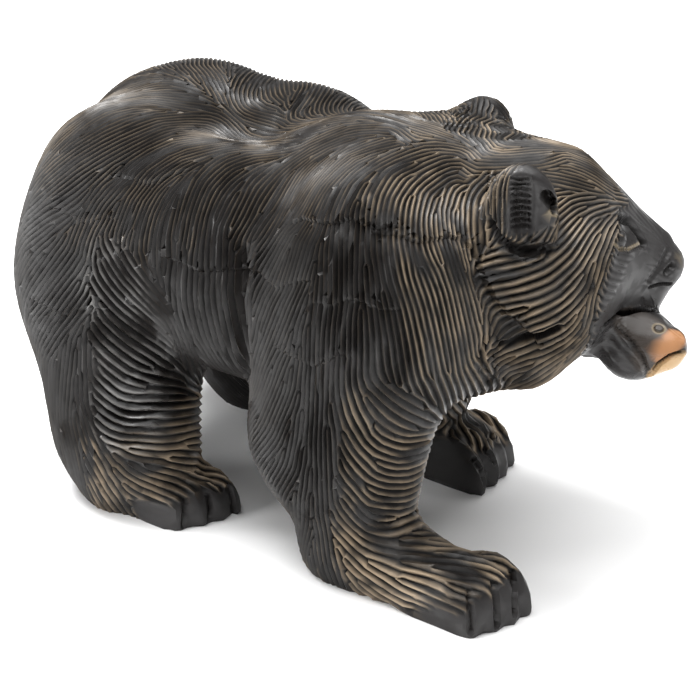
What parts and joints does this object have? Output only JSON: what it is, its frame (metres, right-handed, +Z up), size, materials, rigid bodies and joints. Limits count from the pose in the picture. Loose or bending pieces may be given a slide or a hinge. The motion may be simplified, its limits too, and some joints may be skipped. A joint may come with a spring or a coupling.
{
  "type": "carved wooden bear",
  "caption": "Carved wooden bear walking on its paws, head turned aside with a fish across its mouth; fur gouged in dark stained wood.",
  "frame": {"origin": "on the standing surface, under the middle of the carving's bounding box", "axes": "+X ahead of the bear along its trunk, +Y to the bear's left, +Z up"},
  "size_m": [0.3444, 0.1956, 0.2214],
  "materials": {
    "stained_wood": "black-brown stain with a satin polish, worn back to tan on the ridges of the gouged fur; painted fish"
  },
  "bodies": {
    "root": {"carved_bear": "stained_wood"}
  },
  "joints": []
}
